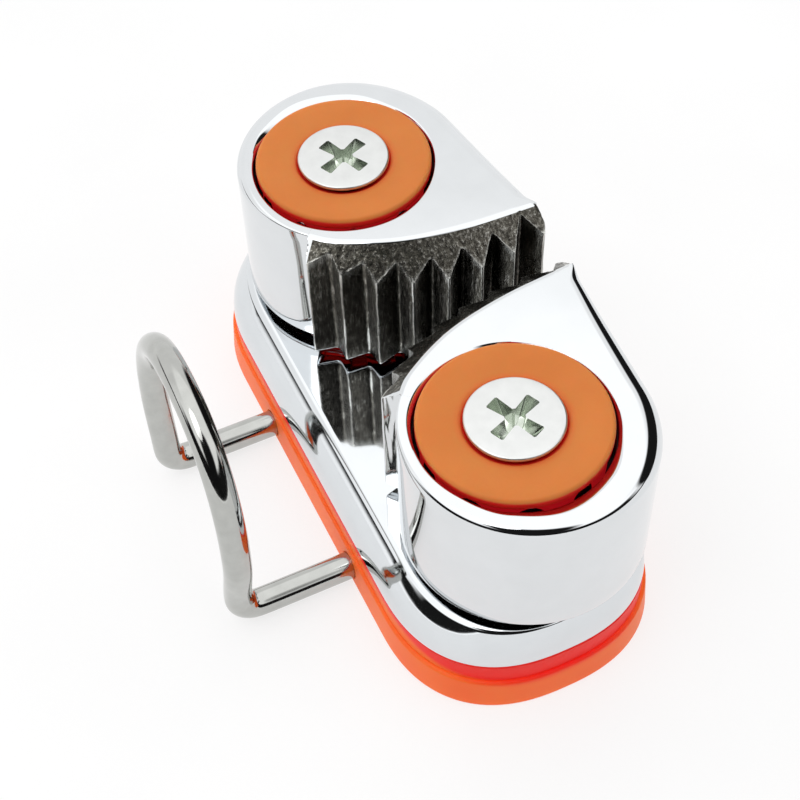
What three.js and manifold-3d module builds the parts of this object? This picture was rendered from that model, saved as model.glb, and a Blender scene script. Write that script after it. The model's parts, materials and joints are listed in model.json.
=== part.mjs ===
// Ball-bearing cam cleat with a wire fairlead.
// Frame: origin on the mounting face between the two screws, +Z up, +X towards the rope's tail,
// +Y towards the back cam. All sizes in millimetres.

import * as THREE from 'three';
import { mergeVertices } from 'three/addons/utils/BufferGeometryUtils.js';
import Module from 'manifold-3d';

const wasm = await Module();
wasm.setup();

// ---------------------------------------------------------------- driving dimensions

const PIVOT_Y = 19;                 // each pivot's distance from the rope's centre line
const OPENING = 45;                 // how far a cam swings open, in degrees
const BACK_AJAR = 3;                // how far open the back cam stands when drawn, in degrees

const RUN_GAP = 0.3;                // clearance round pieces that move or that are cut by a neighbour
const SEAT_GAP = 0.05;              // clearance between pieces stacked flat on each other

// plan shape shared by the plates and the cover: straight sides, superellipse ends
const END_DEPTH = 13.8;
const END_POWER = 2.42;
const END_STEPS = 16;

const PLATE = { halfLength: 32.1, halfWidth: 14.1, draft: 0.25, top: 4.1 };
const CHASSIS = { halfLength: 31.5, halfWidth: 13.55, top: 6.65, bossRadius: 7.55, bossTop: 10.0 };
const COVER = { halfLength: 31.45, halfWidth: 13.6, bottom: 6.7, top: 11.5, wall: 1.2, fillet: 1.2 };
// the cover's sides lean in above an upright foot, in degrees, and its ends lean in less
const COVER_LEAN = { foot: 4, shoulder: 40, endShare: 0.3 };

const SCREW = { shank: 2.5, head: 4.75, top: 29.1, rim: 0.35, tip: 1.0, point: 0.8 };
const SCREW_HOLE = SCREW.shank + RUN_GAP;
const RECESS = { radius: 2.75, armHalf: 0.62, floorScale: 0.5, depth: 2.3, turn: 25 };

const POST = { radius: 5.85, foot: 5.95, top: 27.5 };
const BALL = { radius: 1.5, pitch: 7.6, count: 10, upperZ: 25.9, lowerZ: 15.0 };
const TRACK = BALL.pitch + BALL.radius + 0.25;          // bore of the cam where the balls roll
const CAGE = { inner: 6.45, outer: 8.75, floor: 1.7, ring: 0.4 };
const FINGERS = { upper: 1.4, lower: 0.5 };             // top of a cage above its balls' centres
const THRUST_RING = { inner: 6.2, outer: 8.8, height: 0.85 };

const CAM = { bottom: 12.6, top: 28.2, edge: 0.5, mouth: 9.45, mouthDepth: 0.9, landBore: 6.6 };
const MOUTH_CHAMFER = { width: 0.6, depth: 0.4 };
const LAND = { bottom: 17.5, top: 23.4 };               // shoulder between the two ball tracks
const HEEL = { x: 1.3, y: -0.4, radius: 12.2 };         // the cam's smooth round back, from its pivot
const HEEL_STEPS = 24;
const GROOVES = 7;
const CHAMFER_SLOPE = 0.9;                              // drop of the toothed side's chamfer per mm out

const CAP = { radius: 9.13, bottom: 27.6, rim: 28.85, dish: 28.6, edge: 0.35 };

const SPRING = { radius: 8.3, legRadius: 9.95, wire: 0.45, low: 7.5, high: 9.35, turns: 1.8, legAngle: 120 };
const LEG_HOLE = SPRING.wire + 0.45;

const WIRE = { radius: 1.45, z: 1.85, legY: 10.4, bend: 2.2, x: -26.2, top: 27.0, waistZ: 12, waistY: 11.7 };
const WIRE_LEAN = 0.032;            // how far the arch leans in towards the base, per mm of height
const HOOK = { x: -2.5, bend: 3.5, end: 15.2 };         // inner end of a fairlead leg, under the chassis
const CHANNEL = WIRE.radius + RUN_GAP;

// ---------------------------------------------------------------- materials

function finish(color, roughness, metalness) {
  return new THREE.MeshStandardMaterial({ color, roughness, metalness });
}

const POLISHED = finish(0xdfe3e6, 0.08, 1);
const ORANGE = finish(0xe07a3a, 0.45, 0);
const BASE_ORANGE = finish(0xee6a35, 0.4, 0);
const STAINLESS = finish(0xc9c8c2, 0.2, 1);
const SATIN_STEEL = finish(0xe2e4e3, 0.35, 1);
const SPRING_STEEL = finish(0x8c8f92, 0.3, 1);
const BEARING_STEEL = finish(0xb9bcc0, 0.1, 1);
const BEARING_ORANGE = finish(0xdf4a2c, 0.4, 0);
const BLACK_ACETAL = finish(0x1c1c1d, 0.5, 0);

// ---------------------------------------------------------------- general helpers

const cleat = new THREE.Group();

function add(name, geometry, material) {
  const mesh = new THREE.Mesh(geometry, material);
  mesh.name = name;
  cleat.add(mesh);
}

function solid(geometry) {
  const bare = geometry.clone();
  bare.deleteAttribute('normal');
  bare.deleteAttribute('uv');
  const merged = mergeVertices(bare, 1e-4);
  return new wasm.Manifold(new wasm.Mesh({
    numProp: 3,
    vertProperties: new Float32Array(merged.attributes.position.array),
    triVerts: new Uint32Array(merged.index.array),
  }));
}

function geometryOf(manifold) {
  const mesh = manifold.getMesh();
  const geometry = new THREE.BufferGeometry();
  geometry.setAttribute('position', new THREE.BufferAttribute(mesh.vertProperties, 3));
  geometry.setIndex(new THREE.BufferAttribute(mesh.triVerts, 1));
  geometry.computeVertexNormals();
  return geometry;
}

function cut(geometry, cutters) {
  const left = cutters.reduce((body, cutter) => body.subtract(solid(cutter)), solid(geometry));
  return geometryOf(left);
}

function join(geometries) {
  return geometryOf(geometries.map(solid).reduce((body, next) => body.add(next)));
}

// Reflects a geometry in the XZ plane and turns its faces back outwards.
function mirrored(geometry) {
  const copy = geometry.index ? geometry.clone() : mergeVertices(geometry);
  copy.scale(1, -1, 1);
  const index = copy.index.array;
  for (let i = 0; i < index.length; i += 3) {
    [index[i], index[i + 1]] = [index[i + 1], index[i]];
  }
  return copy;
}

function moved(geometry, x, y, z) {
  return geometry.clone().translate(x, y, z);
}

// A straight-sided solid over a closed plan outline.
function prism(points, bottom, top) {
  const shape = new THREE.Shape(points);
  const geometry = new THREE.ExtrudeGeometry(shape, { depth: top - bottom, bevelEnabled: false });
  return geometry.translate(0, 0, bottom);
}

// A solid through a stack of plan outlines that all have the same number of points.
function loft(levels) {
  const count = levels[0].points.length;
  const positions = levels.flatMap(({ points, z }) => points.flatMap((p) => [p.x, p.y, z]));
  const index = [];
  for (let level = 0; level < levels.length - 1; level += 1) {
    for (let i = 0; i < count; i += 1) {
      const a = level * count + i;
      const b = level * count + (i + 1) % count;
      index.push(a, b, b + count, a, b + count, a + count);
    }
  }
  const last = (levels.length - 1) * count;
  THREE.ShapeUtils.triangulateShape(levels[0].points, []).forEach(([a, b, c]) => index.push(a, c, b));
  THREE.ShapeUtils.triangulateShape(levels[levels.length - 1].points, [])
    .forEach(([a, b, c]) => index.push(last + a, last + b, last + c));
  const geometry = new THREE.BufferGeometry();
  geometry.setAttribute('position', new THREE.Float32BufferAttribute(positions, 3));
  geometry.setIndex(index);
  return geometry;
}

// A turned solid about Z. The profile lists [radius, height], outer side upwards.
function turned(profile, segments) {
  const points = profile.map(([r, z]) => new THREE.Vector2(r, z));
  return new THREE.LatheGeometry(points, segments).rotateX(Math.PI / 2);
}

function ring(inner, outer, bottom, top, segments) {
  const profile = [[inner, bottom], [outer, bottom], [outer, top], [inner, top], [inner, bottom]];
  return turned(profile, segments);
}

function rod(radius, bottom, top, segments) {
  return turned([[0, bottom], [radius, bottom], [radius, top], [0, top]], segments);
}

// A round or square bar swept along a curve.
function sweep(curve, section, steps) {
  return new THREE.ExtrudeGeometry(section, { steps, bevelEnabled: false, extrudePath: curve });
}

function roundSection(radius, sides) {
  const points = [];
  for (let i = 0; i < sides; i += 1) {
    const angle = (2 * Math.PI * i) / sides;
    points.push(new THREE.Vector2(radius * Math.cos(angle), radius * Math.sin(angle)));
  }
  return new THREE.Shape(points);
}

function squareSection(half) {
  return new THREE.Shape([[-half, -half], [half, -half], [half, half], [-half, half]]
    .map(([x, y]) => new THREE.Vector2(x, y)));
}

function polar(radius, degrees, z) {
  const angle = THREE.MathUtils.degToRad(degrees);
  return new THREE.Vector3(radius * Math.cos(angle), radius * Math.sin(angle), z);
}

function atFront(geometry) {
  return moved(geometry, 0, -PIVOT_Y, 0);
}

function atBack(geometry) {
  return mirrored(atFront(geometry));
}

// The same piece at both pivots: as made at the front one, reflected at the back one.
function addPair(name, geometry, material) {
  add(`${name}_front`, atFront(geometry), material);
  add(`${name}_back`, atBack(geometry), material);
}

function atBothPivots(geometry) {
  return [atFront(geometry), atBack(geometry)];
}

// ---------------------------------------------------------------- base: plate, chassis and cover

function planOutline(halfLength, halfWidth) {
  const points = [];
  for (const side of [1, -1]) {
    for (let i = 0; i <= END_STEPS; i += 1) {
      const angle = (Math.PI * i) / END_STEPS;
      const across = Math.sign(Math.cos(angle)) * Math.abs(Math.cos(angle)) ** (2 / END_POWER);
      const along = Math.sin(angle) ** (2 / END_POWER);
      const y = halfLength - END_DEPTH + END_DEPTH * along;
      points.push(new THREE.Vector2(side * halfWidth * across, side * y));
    }
  }
  return points;
}

function planLevel(size, inset, z) {
  return { points: planOutline(size.halfLength - inset, size.halfWidth - inset), z };
}

// Half of the fairlead's centre line inside the plate: from the hooked end to where the leg comes out.
function hookedEnd() {
  const points = [new THREE.Vector3(HOOK.x, HOOK.end, WIRE.z)];
  const centre = [HOOK.x - HOOK.bend, WIRE.legY + HOOK.bend];
  for (let degrees = 0; degrees >= -90; degrees -= 18) {
    const angle = THREE.MathUtils.degToRad(degrees);
    const x = centre[0] + HOOK.bend * Math.cos(angle);
    const y = centre[1] + HOOK.bend * Math.sin(angle);
    points.push(new THREE.Vector3(x, y, WIRE.z));
  }
  return points;
}

function wireChannel() {
  const points = hookedEnd();
  points[0].y += RUN_GAP;
  points.push(new THREE.Vector3(-10, WIRE.legY, WIRE.z));
  points.push(new THREE.Vector3(-17, WIRE.legY, WIRE.z));
  const path = new THREE.CatmullRomCurve3(points, false, 'centripetal');
  const groove = sweep(path, squareSection(CHANNEL), 24);
  const below = moved(groove, 0, 0, -WIRE.z);
  return join([groove, below]);
}

function mountingPlate() {
  const body = loft([
    planLevel(PLATE, 0.4, 0),
    planLevel(PLATE, 0, 0.4),
    planLevel(PLATE, PLATE.draft, PLATE.top),
  ]);
  const channel = wireChannel();
  const holes = atBothPivots(rod(SCREW_HOLE, -1, PLATE.top + 1, 20));
  return cut(body, [channel, mirrored(channel), ...holes]);
}

function chassis() {
  const bottom = PLATE.top + SEAT_GAP;
  const plate = loft([planLevel(CHASSIS, 0, bottom), planLevel(CHASSIS, 0, CHASSIS.top)]);
  const bosses = atBothPivots(rod(CHASSIS.bossRadius, bottom + 1, CHASSIS.bossTop, 32));
  const pockets = atBothPivots(rod(POST.radius + RUN_GAP, POST.foot, CHASSIS.bossTop + 1, 28));
  const holes = atBothPivots(rod(SCREW_HOLE, 0, CHASSIS.top, 20));
  const legHole = rod(LEG_HOLE, bottom + 0.4, CHASSIS.top + 1, 12);
  const leg = polar(SPRING.radius, springLowAngle(), 0);
  const legHoles = atBothPivots(moved(legHole, leg.x, leg.y, 0));
  return cut(join([plate, ...bosses]), [...pockets, ...holes, ...legHoles]);
}

// The slot that the spring's upper leg travels along as its cam opens, at the front pivot.
function legSlot() {
  const from = SPRING.legAngle + 14;
  const to = SPRING.legAngle - OPENING - 4;
  const points = [];
  const steps = 10;
  for (let i = 0; i <= steps; i += 1) {
    points.push(polar(SPRING.legRadius - LEG_HOLE, from + ((to - from) * i) / steps, 0));
  }
  for (let i = steps; i >= 0; i -= 1) {
    points.push(polar(SPRING.legRadius + LEG_HOLE, from + ((to - from) * i) / steps, 0));
  }
  const outline = points.map((p) => new THREE.Vector2(p.x, p.y));
  return prism(outline, COVER.top - 3, COVER.top + 1);
}

// The cover's section, a distance inside its outer face: an upright foot that bends into a leaning
// side, then the shoulder's fillet. Each point has its inset at the sides and at the ends.
function coverSection(inside) {
  const radians = THREE.MathUtils.degToRad;
  const shoulder = radians(COVER_LEAN.shoulder);
  const shoulderZ = COVER.top - COVER.fillet * (1 - Math.sin(shoulder));
  const section = [];
  const push = (lean, inset, z) => {
    const deeper = inside * Math.cos(lean);
    const point = { side: inset + deeper, end: inset * COVER_LEAN.endShare + deeper };
    section.push({ ...point, z: z - inside * Math.sin(lean) });
  };
  const leanAt = (share) => {
    const bend = THREE.MathUtils.smoothstep(share, 0, 1);
    return THREE.MathUtils.lerp(radians(COVER_LEAN.foot), shoulder, bend);
  };
  const steps = 6;
  const rise = (shoulderZ - COVER.bottom) / steps;
  let inset = 0;
  for (let i = 0; i <= steps; i += 1) {
    push(leanAt(i / steps), inset, COVER.bottom + rise * i);
    inset += Math.tan(leanAt((i + 0.5) / steps)) * (i < steps ? rise : 0);
  }
  for (let i = 1; i <= 3; i += 1) {
    const lean = THREE.MathUtils.lerp(shoulder, Math.PI / 2, i / 3);
    const over = COVER.fillet * (Math.cos(shoulder) - Math.cos(lean));
    push(lean, inset + over, COVER.top - COVER.fillet * (1 - Math.sin(lean)));
  }
  return section;
}

function cover() {
  const level = ({ side, end, z }) => {
    return { points: planOutline(COVER.halfLength - end, COVER.halfWidth - side), z };
  };
  const levels = coverSection(0).map(level);
  const inner = coverSection(COVER.wall).slice(0, 7).map(level);
  const hollow = loft([planLevel(COVER, COVER.wall, COVER.bottom - 1), ...inner]);
  const holes = atBothPivots(rod(POST.radius + RUN_GAP, COVER.bottom, COVER.top + 1, 28));
  return cut(loft(levels), [hollow, ...holes, ...atBothPivots(legSlot())]);
}

// ---------------------------------------------------------------- cams
// A cam is drawn about its own pivot: x towards the tail, y towards the rope.

function curveThrough(points) {
  return new THREE.SplineCurve(points.map(([x, y]) => new THREE.Vector2(x, y)));
}

// The line of the tooth tips, from the first tooth at the load side to the cam's tip.
const tipLine = curveThrough([[-9.2, 9.4], [-4.7, 14.0], [1.6, 16.9], [8.0, 17.8], [13.9, 17.5]]);
// The upper edge of the toothed side, where the flat top ends.
const lipLine = curveThrough([[-7.9, 7.6], [-5.6, 9.8], [-0.2, 12.6], [6.5, 14.2], [13.9, 14.9]]);

function heelPoint(degrees, grow) {
  const angle = THREE.MathUtils.degToRad(degrees);
  const radius = HEEL.radius + grow;
  return new THREE.Vector2(HEEL.x + radius * Math.cos(angle), HEEL.y + radius * Math.sin(angle));
}

const HEEL_FROM = 139;              // where the first tooth starts on the round back
const HEEL_TO = 357;                // where the round back runs into the straight flank
const FLANK = [new THREE.Vector2(14.0, 9), new THREE.Vector2(14.4, 16.6)];

function heel(grow) {
  const points = [];
  for (let i = 0; i <= HEEL_STEPS; i += 1) {
    points.push(heelPoint(HEEL_FROM + ((HEEL_TO - HEEL_FROM) * i) / HEEL_STEPS, grow));
  }
  return points;
}

// Ridges and groove bottoms in turn, from the tip back to the first tooth.
function teeth() {
  const points = [];
  for (let i = GROOVES; i >= 0; i -= 1) {
    const t = i / GROOVES;
    points.push(tipLine.getPointAt(t));
    if (i > 0) {
      const middle = (i - 0.4) / GROOVES;
      const depth = 1.3 + 1.3 * middle;
      const tangent = tipLine.getTangentAt(middle);
      const bottom = tipLine.getPointAt(middle);
      points.push(bottom.add(new THREE.Vector2(tangent.y, -tangent.x).multiplyScalar(depth)));
    }
  }
  return points;
}

// What the chamfered top leaves of the cam: the smooth back's edge is broken by a small chamfer and
// the toothed side slopes down and out from its lip.
function camEnvelope() {
  const lipSteps = 14;
  const level = (z, grow) => {
    const out = (CAM.top - z) / CHAMFER_SLOPE;
    const points = heel(grow);
    points.push(...FLANK.map((p) => new THREE.Vector2(p.x + grow, p.y)));
    points[points.length - 1].y = lipLine.getPointAt(1).y + out - 0.3;
    for (let i = lipSteps; i >= 0; i -= 1) {
      const t = i / lipSteps;
      const tangent = lipLine.getTangentAt(t);
      const p = lipLine.getPointAt(t);
      points.push(p.add(new THREE.Vector2(-tangent.y, tangent.x).multiplyScalar(out)));
    }
    return { points, z };
  };
  return loft([
    level(CAM.bottom - 1, 0.4),
    level(CAM.top - CAM.edge, 0),
    level(CAM.top, -CAM.edge),
  ]);
}

function cam() {
  const outline = [...heel(0), ...FLANK, ...teeth()];
  const body = solid(prism(outline, CAM.bottom, CAM.top));
  const topped = geometryOf(body.intersect(solid(camEnvelope())));
  const track = CAM.top - CAM.mouthDepth;
  const bore = turned([
    [0, CAM.bottom - 1], [TRACK, CAM.bottom - 1], [TRACK, LAND.bottom], [CAM.landBore, LAND.bottom],
    [CAM.landBore, LAND.top], [TRACK, LAND.top], [TRACK, track], [CAM.mouth, track],
    [CAM.mouth, CAM.top - MOUTH_CHAMFER.depth],
    [CAM.mouth + 2 * MOUTH_CHAMFER.width, CAM.top + MOUTH_CHAMFER.depth],
    [0, CAM.top + MOUTH_CHAMFER.depth],
  ], 40);
  const notch = rod(LEG_HOLE, CAM.bottom - 1, CAM.bottom + 3, 12);
  const leg = polar(SPRING.legRadius, SPRING.legAngle, 0);
  return cut(topped, [bore, moved(notch, leg.x, leg.y, 0)]);
}

// ---------------------------------------------------------------- pivots: posts, bearings, springs

function post() {
  const seat = SCREW.head - (SCREW.top - SCREW.rim - POST.top) + RUN_GAP;
  return turned([
    [SCREW_HOLE, POST.foot], [POST.radius, POST.foot], [POST.radius, POST.top], [seat, POST.top],
    [SCREW_HOLE, POST.top - (seat - SCREW_HOLE)], [SCREW_HOLE, POST.foot],
  ], 28);
}

function thrustRing() {
  const bottom = COVER.top + SEAT_GAP;
  return ring(THRUST_RING.inner, THRUST_RING.outer, bottom, bottom + THRUST_RING.height, 24);
}

function ballPlaces(z) {
  return Array.from({ length: BALL.count }, (_, i) => polar(BALL.pitch, (360 * i) / BALL.count, z));
}

function cage(z, fingers) {
  const floor = z - CAGE.floor;
  const body = ring(CAGE.inner, CAGE.outer, floor - CAGE.ring, z + fingers, 30);
  const pocket = rod(BALL.radius + 0.2, floor, z + 2, 10);
  return cut(body, ballPlaces(0).map((p) => moved(pocket, p.x, p.y, 0)));
}

function bearingRow(row, z) {
  addPair(`cage_${row}`, cage(z, FINGERS[row]), BEARING_ORANGE);
  const ball = new THREE.IcosahedronGeometry(BALL.radius, 1);
  ballPlaces(z).forEach((p, i) => {
    addPair(`ball_${row}_${i + 1}`, moved(ball, p.x, p.y, p.z), BEARING_STEEL);
  });
}

function springLowAngle() {
  return SPRING.legAngle + 360 * SPRING.turns;
}

// A torsion spring: a leg down into the chassis, the coil, and a leg up through the cover into the cam.
// With the cam ajar, the upper leg has gone round with it.
function spring(ajar) {
  const points = [];
  const low = springLowAngle();
  points.push(polar(SPRING.radius, low, PLATE.top + 1));
  points.push(polar(SPRING.radius, low, SPRING.low - 0.4));
  const steps = Math.round(14 * SPRING.turns);
  for (let i = 1; i < steps; i += 1) {
    const z = THREE.MathUtils.lerp(SPRING.low, SPRING.high, i / steps);
    points.push(polar(SPRING.radius, low - ((360 * SPRING.turns + ajar) * i) / steps, z));
  }
  const end = SPRING.legAngle - ajar;
  points.push(polar((SPRING.radius + SPRING.legRadius) / 2, end, SPRING.high + 0.35));
  points.push(polar(SPRING.legRadius, end, SPRING.high + 0.9));
  points.push(polar(SPRING.legRadius, end, CAM.bottom + 2));
  const path = new THREE.CatmullRomCurve3(points, false, 'centripetal');
  return sweep(path, roundSection(SPRING.wire, 6), 54);
}

// ---------------------------------------------------------------- caps, screws and fairlead

function cap() {
  const seat = SCREW.head + 0.15;
  const drop = SCREW.top - SCREW.rim;
  return turned([
    [seat - (drop - CAP.bottom), CAP.bottom], [CAP.radius - 0.3, CAP.bottom],
    [CAP.radius, CAP.bottom + 0.3], [CAP.radius, CAP.rim - CAP.edge],
    [CAP.radius - 0.1, CAP.rim - 0.1], [CAP.radius - CAP.edge, CAP.rim],
    [CAP.radius - 1, CAP.rim], [seat, CAP.dish],
    [seat - (drop - CAP.bottom), CAP.bottom],
  ], 40);
}

function crossRecess() {
  const level = (scale, z) => {
    const points = [];
    for (let arm = 0; arm < 4; arm += 1) {
      const base = RECESS.turn + 90 * arm;
      const tip = RECESS.radius * scale;
      const half = THREE.MathUtils.radToDeg(Math.atan2(RECESS.armHalf * (0.4 + 0.6 * scale), tip));
      points.push(polar(tip, base - half, 0), polar(tip, base + half, 0));
      points.push(polar(1.15 * (0.3 + 0.7 * scale), base + 45, 0));
    }
    return { points: points.map((p) => new THREE.Vector2(p.x, p.y)), z };
  };
  const top = SCREW.top + 0.2;
  return loft([level(RECESS.floorScale, SCREW.top - RECESS.depth), level(1.05, top)]);
}

function screw() {
  const cone = SCREW.top - SCREW.rim - (SCREW.head - SCREW.shank);
  const body = turned([
    [0, SCREW.tip], [SCREW.shank - SCREW.point, SCREW.tip], [SCREW.shank, SCREW.tip + SCREW.point],
    [SCREW.shank, cone], [SCREW.head, SCREW.top - SCREW.rim], [SCREW.head, SCREW.top - 0.12],
    [SCREW.head - 0.15, SCREW.top], [0, SCREW.top],
  ], 32);
  return cut(body, [crossRecess()]);
}

// Bent wire: hooked ends in the plate, two legs out of its load side, two risers and an arch.
function fairlead() {
  const half = hookedEnd();
  for (const x of [-12, -18, WIRE.x + WIRE.bend]) {
    half.push(new THREE.Vector3(x, WIRE.legY, WIRE.z));
  }
  const corner = [WIRE.x + WIRE.bend, WIRE.z + WIRE.bend];
  for (let degrees = 22.5; degrees <= 90; degrees += 22.5) {
    const angle = THREE.MathUtils.degToRad(degrees);
    const x = corner[0] - WIRE.bend * Math.sin(angle);
    half.push(new THREE.Vector3(x, WIRE.legY, corner[1] - WIRE.bend * Math.cos(angle)));
  }
  const lean = (z) => WIRE.x + WIRE_LEAN * (z - corner[1]);
  half.push(new THREE.Vector3(lean(WIRE.waistZ - 3.5), (WIRE.legY + WIRE.waistY) / 2, WIRE.waistZ - 3.5));
  const archPower = 2.3;
  for (let degrees = 0; degrees < 90; degrees += 11.25) {
    const angle = THREE.MathUtils.degToRad(degrees);
    const y = WIRE.waistY * Math.cos(angle) ** (2 / archPower);
    const z = WIRE.waistZ + (WIRE.top - WIRE.waistZ) * Math.sin(angle) ** (2 / archPower);
    half.push(new THREE.Vector3(lean(z), y, z));
  }
  const other = half.map((p) => new THREE.Vector3(p.x, -p.y, p.z)).reverse();
  const crown = new THREE.Vector3(lean(WIRE.top), 0, WIRE.top);
  const path = new THREE.CatmullRomCurve3([...half, crown, ...other], false, 'centripetal');
  return sweep(path, roundSection(WIRE.radius, 10), 84);
}

// ---------------------------------------------------------------- the assembly

add('mounting_plate', mountingPlate(), BASE_ORANGE);
add('chassis', chassis(), BASE_ORANGE);
add('base_cover', cover(), POLISHED);
add('wire_fairlead', fairlead(), STAINLESS);
add('cam_front', atFront(cam()), POLISHED);
add('cam_back', atBack(cam().rotateZ(-THREE.MathUtils.degToRad(BACK_AJAR))), POLISHED);
addPair('post', post(), SATIN_STEEL);
addPair('thrust_ring', thrustRing(), BLACK_ACETAL);
add('spring_front', atFront(spring(0)), SPRING_STEEL);
add('spring_back', atBack(spring(BACK_AJAR)), SPRING_STEEL);
bearingRow('upper', BALL.upperZ);
bearingRow('lower', BALL.lowerZ);
addPair('cap', cap(), ORANGE);
add('screw_front', atFront(screw()), SATIN_STEEL);
add('screw_back', moved(screw(), 0, PIVOT_Y, 0), SATIN_STEEL);

export default cleat;
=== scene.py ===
"""Looks of a ball-bearing cam cleat: polished cams and cover on an orange base, with a wire fairlead.

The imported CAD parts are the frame. Every piece that shows is rebuilt here as a finer mesh in the same
place. Shapes are drawn in millimetres and turned into metres when a mesh is made.
"""

import json
import math

import bmesh
import bpy
from mathutils import Matrix, Vector, noise


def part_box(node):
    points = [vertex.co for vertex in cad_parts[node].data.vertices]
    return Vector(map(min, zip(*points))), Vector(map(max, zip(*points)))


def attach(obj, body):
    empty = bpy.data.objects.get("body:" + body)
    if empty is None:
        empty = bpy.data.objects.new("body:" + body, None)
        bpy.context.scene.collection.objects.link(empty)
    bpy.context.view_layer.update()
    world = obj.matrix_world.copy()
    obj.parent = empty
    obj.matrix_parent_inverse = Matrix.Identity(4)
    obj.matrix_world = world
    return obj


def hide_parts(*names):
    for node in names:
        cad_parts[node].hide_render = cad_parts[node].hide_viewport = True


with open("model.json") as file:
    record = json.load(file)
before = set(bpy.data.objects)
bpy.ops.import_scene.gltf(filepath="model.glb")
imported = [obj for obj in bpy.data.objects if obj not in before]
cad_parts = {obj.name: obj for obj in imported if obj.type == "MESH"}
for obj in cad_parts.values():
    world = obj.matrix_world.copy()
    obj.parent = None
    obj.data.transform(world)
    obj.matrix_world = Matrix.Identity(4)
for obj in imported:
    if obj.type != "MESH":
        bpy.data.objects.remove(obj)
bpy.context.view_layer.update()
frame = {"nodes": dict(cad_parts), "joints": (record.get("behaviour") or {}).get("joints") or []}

MM = 0.001
SIDES = ("front", "back")
PIVOTS = {j["child"]: Vector(j["pos_m"]) for j in frame["joints"]}


def low(node):
    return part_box(node)[0] / MM


def high(node):
    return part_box(node)[1] / MM


def half_width(node):
    return (high(node).x - low(node).x) / 2


def half_length(node):
    return (high(node).y - low(node).y) / 2


# ---------------------------------------------------------------- sizes, in millimetres

END_DEPTH = 13.8                    # rounded end of the base's plan shape, a superellipse
END_POWER = 2.42
BACK_AJAR = math.radians(3)         # the back cam stands this much further open than the front one

PLATE_DRAFT = 0.25
RUN_GAP = 0.3                       # clearance round the screws
LEG_FIT = 0.12                      # clearance round the fairlead's legs in the plate
POST_POCKET = 6.15                  # radius of the holes for the posts in the chassis and the cover
COVER_FILLET = 1.2
COVER_WALL = 1.2
COVER_FOOT = math.radians(4)        # how far the cover's side leans in at its foot and at its shoulder
COVER_SHOULDER = math.radians(40)
COVER_END_SHARE = 0.3               # the ends of the cover lean in less than its sides
BOSS = 7.55                         # radius of the boss round each post
BOSS_EDGE = 0.4
LEG_RADIUS = 9.95                   # how far from the pivot a spring's upper leg stands
LEG_HOLE = 0.9
LEG_ANGLE = 120                     # where it stands, from the tail, in degrees
LEG_TRAVEL = 45
SLOT_BEFORE = 14                    # room at the two ends of its slot, in degrees
SLOT_BEYOND = 4

HEEL_FILLET = 0.95                  # rounding of the cam's top edge round its smooth back
FLANK_FILLET = 2.1                  # the same along the straight flank, where it is widest
TIP_FILLET = 1.1
LIP_FILLET = 0.38                   # the same along the toothed side
MOUTH_DISH = math.tan(math.radians(24))     # fall of the worn-in dish round the bore's mouth
MOUTH_WIDTHS = [(-180, 0.3), (-150, 0.25), (-120, 0.7), (-90, 1.2), (-60, 1.0), (-30, 0.4), (0, 0.25),
                (40, 0.2), (90, 0.5), (140, 0.55), (180, 0.3)]    # its width at angles round the bore
CHAMFER_SLOPE = 0.9                 # drop of the toothed side's chamfer per mm out
HEEL_CENTRE = Vector((1.3, -0.4))
HEEL_RADIUS = 12.2
HEEL_FROM = 139
HEEL_TO = 357
TIP_LINE = [(-9.2, 9.4), (-4.7, 14.0), (1.6, 16.9), (8.0, 17.8), (13.9, 17.5)]
LIP_LINE = [(-7.9, 7.6), (-5.6, 9.8), (-0.2, 12.6), (6.5, 14.2), (13.9, 14.9)]
FLANK = [Vector((14.0, 9.0)), Vector((14.4, 16.6))]
GROOVES = 7
MOUTH = 9.45                        # bore of the cam round its cap
TRACK = 9.35                        # bore where the balls roll
LAND_BORE = 6.6                     # bore of the land between the two rows of balls, and its heights
LAND = (17.5, 23.4)

SEAT = 4.9                          # bore of the cap round the screw's head
SHANK = 2.5
HEAD_RIM = 0.35                     # height of the screw head's edge
RECESS_TURN = 25
CAGE_INNER = 6.45
BALLS_IN_ROW = 10
POCKET_GAP = 0.15                   # clearance round a ball in its cage

WIRE = 1.45                         # the fairlead's radius
WIRE_LEG_Y = 10.4
WIRE_BEND = 2.2
WIRE_WAIST_Z = 12.0
WIRE_WAIST_Y = 11.7
WIRE_LEAN = 0.032
HOOK_X = -2.5
HOOK_BEND = 3.5
HOOK_END = 15.2
ARCH_POWER = 2.3
WIRE_END = 0.2                      # chamfer of the wire's cut ends
WIRE_SMOOTHING = 6                  # passes over its centre line


# ---------------------------------------------------------------- mesh helpers

def make_object(name, vertices, faces, materials, face_slots=None):
    mesh = bpy.data.meshes.new(name)
    mesh.from_pydata([Vector(v) * MM for v in vertices], [], faces)
    for m in materials:
        mesh.materials.append(m)
    if face_slots:
        mesh.polygons.foreach_set("material_index", face_slots)
    return place(bpy.data.objects.new(name, mesh))


def tidy(obj, merge=1e-7):
    """Joins points that coincide, drops empty faces and turns the rest outwards."""
    bm = bmesh.new()
    bm.from_mesh(obj.data)
    bmesh.ops.remove_doubles(bm, verts=bm.verts, dist=merge)
    bmesh.ops.dissolve_degenerate(bm, edges=bm.edges, dist=merge)
    bmesh.ops.recalc_face_normals(bm, faces=bm.faces)
    bm.to_mesh(obj.data)
    bm.free()
    return obj


def shade(obj, sharp=32, weighted=True):
    """Smooth shading that keeps edges sharper than an angle, and flat faces flat up to their fillets."""
    obj.data.polygons.foreach_set("use_smooth", [True] * len(obj.data.polygons))
    obj.data.set_sharp_from_angle(angle=math.radians(sharp))
    if weighted:
        modifier = obj.modifiers.new("even_normals", "WEIGHTED_NORMAL")
        modifier.keep_sharp = True
        modifier.weight = 60
    return obj


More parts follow.
